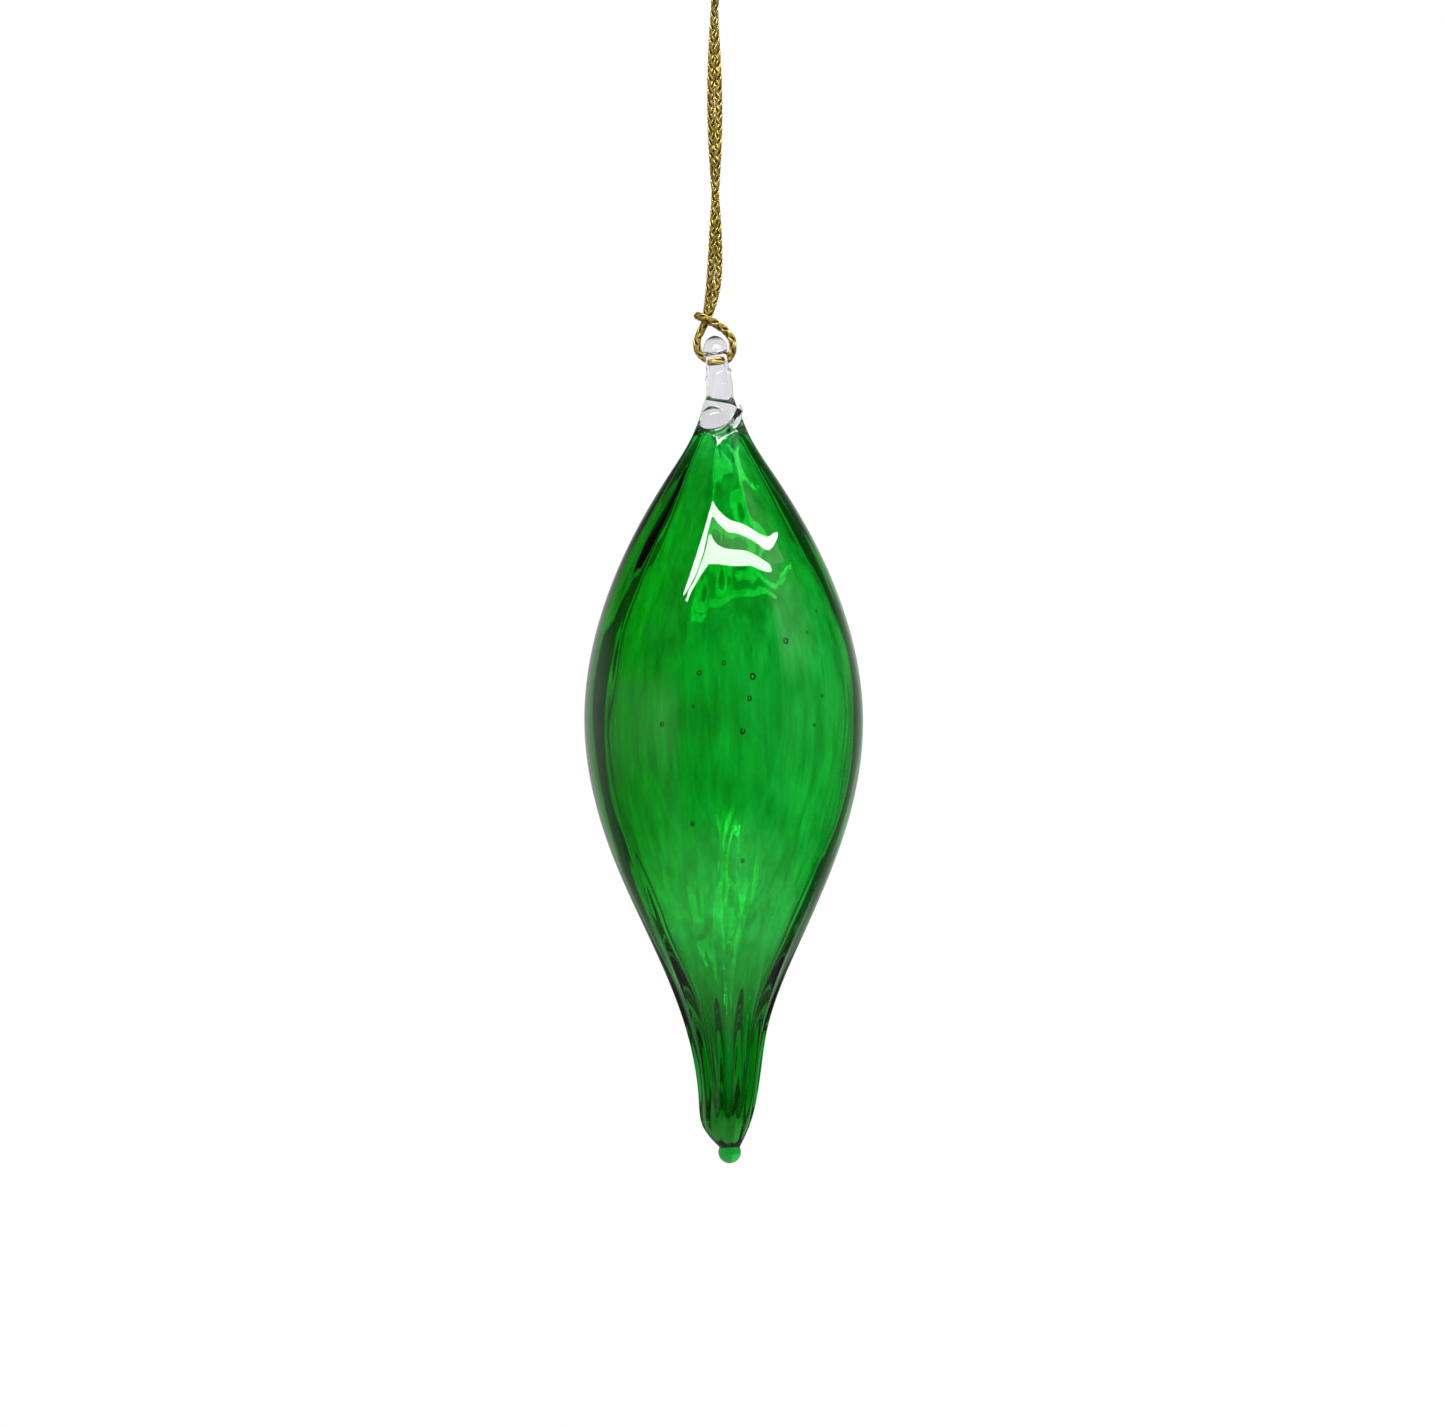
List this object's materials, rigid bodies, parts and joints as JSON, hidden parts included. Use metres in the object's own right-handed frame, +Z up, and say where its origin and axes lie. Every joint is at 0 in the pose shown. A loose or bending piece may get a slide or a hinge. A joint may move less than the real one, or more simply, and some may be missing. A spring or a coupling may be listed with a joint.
{
  "type": "glass teardrop ornament",
  "caption": "Hollow blown glass teardrop with soft ribs, a drawn tail and a clear pierced hanger, on a doubled gold cord tied in a knot.",
  "frame": {"origin": "the place under the knot where a hook carries the cord's loop", "axes": "+Z up along the glass; +X to the right in the front view, along the hole of the eye"},
  "size_m": [0.043, 0.0422, 0.1933],
  "materials": {
    "green_glass": "clear blown glass, green through its body, fire polished",
    "clear_glass": "clear glass, fire polished",
    "gold_cord": "braided metallic gold thread"
  },
  "bodies": {
    "root": {"glass_body": "green_glass", "glass_hanger": "clear_glass", "hanging_cord": "gold_cord", "cord_knot": "gold_cord"}
  },
  "joints": []
}
